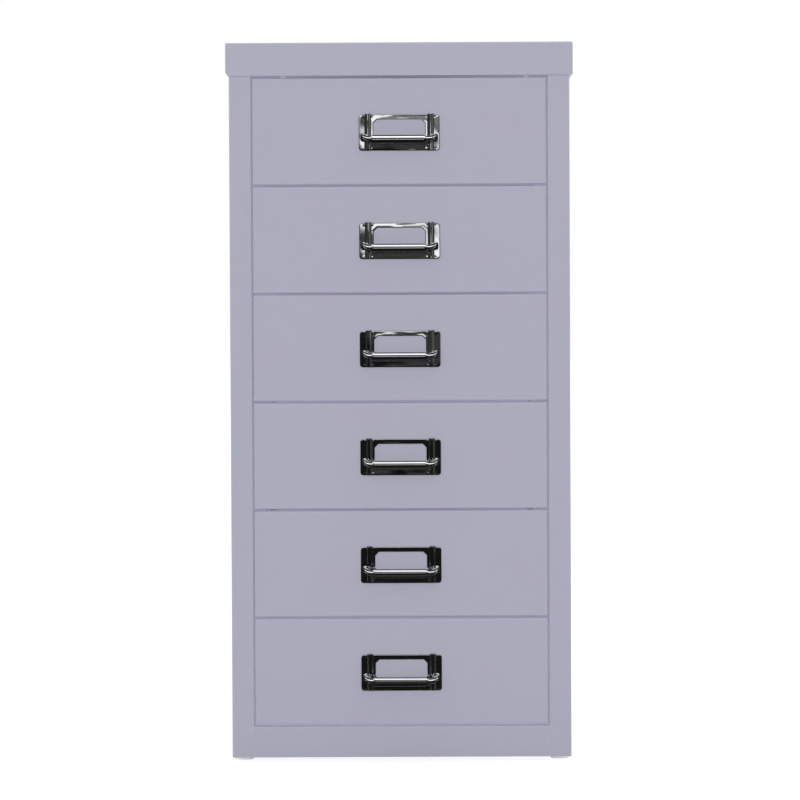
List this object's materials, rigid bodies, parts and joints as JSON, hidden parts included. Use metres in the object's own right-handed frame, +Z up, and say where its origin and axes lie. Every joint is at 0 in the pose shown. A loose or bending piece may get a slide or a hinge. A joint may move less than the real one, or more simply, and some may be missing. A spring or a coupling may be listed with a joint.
{
  "type": "small metal drawer cabinet",
  "caption": "Narrow upright folded steel cabinet with a pressed lid and a stack of equal shallow drawers, each with a chrome card holder and bar pull.",
  "frame": {"origin": "on the floor, under the middle of the whole cabinet's box, pulls included", "axes": "+Z up, the drawers open towards -Y, and +X is to the right of someone who faces the drawers"},
  "size_m": [0.2846, 0.396, 0.59],
  "materials": {
    "painted_steel": "smooth satin powder coat in a cool light grey",
    "chrome": "bright chrome plate",
    "zinc_steel": "zinc-plated spring steel",
    "nylon": "natural white nylon"
  },
  "bodies": {
    "cabinet": {"left_side_panel": "painted_steel", "right_side_panel": "painted_steel", "back_panel": "painted_steel", "top_lid": "painted_steel", "top_front_rail": "painted_steel", "front_plinth": "painted_steel", "base_pan": "painted_steel", "base_glides": "nylon", "runner_left_1": "painted_steel", "runner_right_1": "painted_steel", "runner_left_2": "painted_steel", "runner_right_2": "painted_steel", "runner_left_3": "painted_steel", "runner_right_3": "painted_steel", "runner_left_4": "painted_steel", "runner_right_4": "painted_steel", "runner_left_5": "painted_steel", "runner_right_5": "painted_steel", "runner_left_6": "painted_steel", "runner_right_6": "painted_steel"},
    "drawer_1": {"drawer_1_front": "painted_steel", "drawer_1_tray": "painted_steel", "drawer_1_card_holder": "chrome", "drawer_1_pull_bar": "chrome", "drawer_1_push_nuts": "zinc_steel", "drawer_1_glide_pads": "nylon"},
    "drawer_2": {"drawer_2_front": "painted_steel", "drawer_2_tray": "painted_steel", "drawer_2_card_holder": "chrome", "drawer_2_pull_bar": "chrome", "drawer_2_push_nuts": "zinc_steel", "drawer_2_glide_pads": "nylon"},
    "drawer_3": {"drawer_3_front": "painted_steel", "drawer_3_tray": "painted_steel", "drawer_3_card_holder": "chrome", "drawer_3_pull_bar": "chrome", "drawer_3_push_nuts": "zinc_steel", "drawer_3_glide_pads": "nylon"},
    "drawer_4": {"drawer_4_front": "painted_steel", "drawer_4_tray": "painted_steel", "drawer_4_card_holder": "chrome", "drawer_4_pull_bar": "chrome", "drawer_4_push_nuts": "zinc_steel", "drawer_4_glide_pads": "nylon"},
    "drawer_5": {"drawer_5_front": "painted_steel", "drawer_5_tray": "painted_steel", "drawer_5_card_holder": "chrome", "drawer_5_pull_bar": "chrome", "drawer_5_push_nuts": "zinc_steel", "drawer_5_glide_pads": "nylon"},
    "drawer_6": {"drawer_6_front": "painted_steel", "drawer_6_tray": "painted_steel", "drawer_6_card_holder": "chrome", "drawer_6_pull_bar": "chrome", "drawer_6_push_nuts": "zinc_steel", "drawer_6_glide_pads": "nylon"}
  },
  "joints": [
    {"name": "drawer_1_slide", "type": "slide", "parent": "cabinet", "child": "drawer_1", "axis": [0, -1, 0], "range_m": [0, 0.3]},
    {"name": "drawer_2_slide", "type": "slide", "parent": "cabinet", "child": "drawer_2", "axis": [0, -1, 0], "range_m": [0, 0.3]},
    {"name": "drawer_3_slide", "type": "slide", "parent": "cabinet", "child": "drawer_3", "axis": [0, -1, 0], "range_m": [0, 0.3]},
    {"name": "drawer_4_slide", "type": "slide", "parent": "cabinet", "child": "drawer_4", "axis": [0, -1, 0], "range_m": [0, 0.3]},
    {"name": "drawer_5_slide", "type": "slide", "parent": "cabinet", "child": "drawer_5", "axis": [0, -1, 0], "range_m": [0, 0.3]},
    {"name": "drawer_6_slide", "type": "slide", "parent": "cabinet", "child": "drawer_6", "axis": [0, -1, 0], "range_m": [0, 0.3]}
  ]
}
